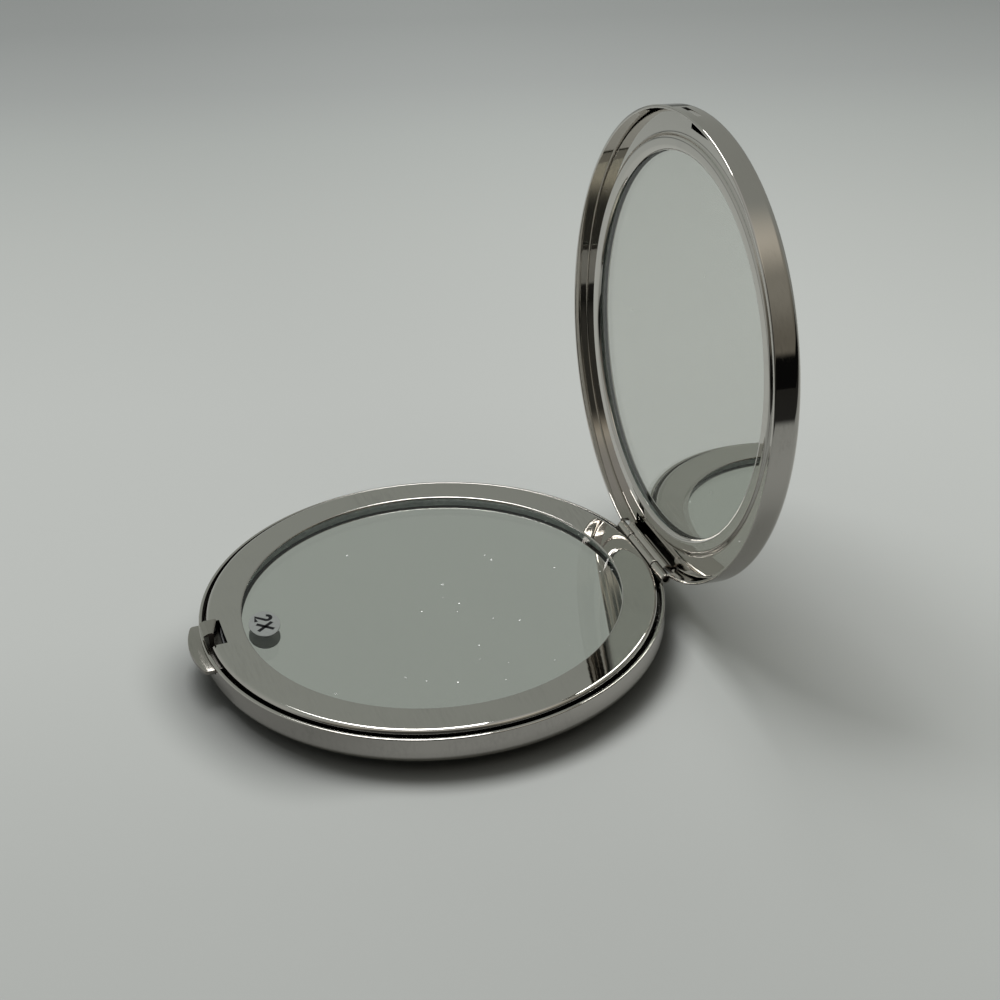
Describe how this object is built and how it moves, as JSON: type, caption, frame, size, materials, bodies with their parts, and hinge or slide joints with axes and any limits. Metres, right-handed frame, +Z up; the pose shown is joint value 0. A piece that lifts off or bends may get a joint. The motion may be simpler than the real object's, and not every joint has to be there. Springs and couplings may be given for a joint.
{
  "type": "compact mirror",
  "caption": "Round pocket compact in polished metal: a push-button case that opens on a rolled hinge to show a magnifying glass in the base and a plain glass in the lid.",
  "frame": {"origin": "centre of the flat panel of the base shell's underside, on the surface that the case stands on", "axes": "+Z up, +X along the hinge, +Y from the case's centre to the hinge, so the button is at -Y; the lid stands open as stored"},
  "size_m": [0.07, 0.0819, 0.0752],
  "materials": {
    "shell_metal": "polished nickel plate on steel, with fine wiping marks",
    "bezel_metal": "polished nickel plate on steel",
    "hinge_metal": "nickel plate, slightly duller than the shells",
    "button_metal": "polished nickel plate",
    "raw_steel": "sheared steel strip, dull on its cut sides",
    "spring_steel": "plain spring steel",
    "magnifying_glass": "clear glass, silvered on its curved back",
    "plain_glass": "clear glass, silvered on its flat back",
    "foam": "thin closed-cell foam with adhesive on both sides",
    "sticker_film": "satin white film"
  },
  "bodies": {
    "base": {"base_shell": "shell_metal", "base_bezel": "bezel_metal", "base_mirror": "magnifying_glass", "base_mirror_pad": "foam", "magnification_sticker": "sticker_film", "base_hinge_leaf": "hinge_metal", "hinge_pin": "spring_steel", "latch_guide": "raw_steel", "button_spring": "spring_steel"},
    "button": {"button_slide": "button_metal", "latch_hook": "raw_steel"},
    "lid": {"lid_shell": "shell_metal", "lid_bezel": "bezel_metal", "lid_mirror": "plain_glass", "lid_mirror_tape": "foam", "lid_hinge_leaf": "hinge_metal"}
  },
  "joints": [
    {"name": "lid_hinge", "type": "hinge", "parent": "base", "child": "lid", "pos_m": [0, 0.0344, 0.00606], "axis": [-1, 0, 0], "range_deg": [-94.7, 20.3]},
    {"name": "button_press", "type": "slide", "parent": "base", "child": "button", "axis": [0, 1, 0], "range_m": [0, 0.0005], "stiffness_N_per_m": 1500, "springref_m": -0.0008, "deforming": ["button_spring"]}
  ]
}
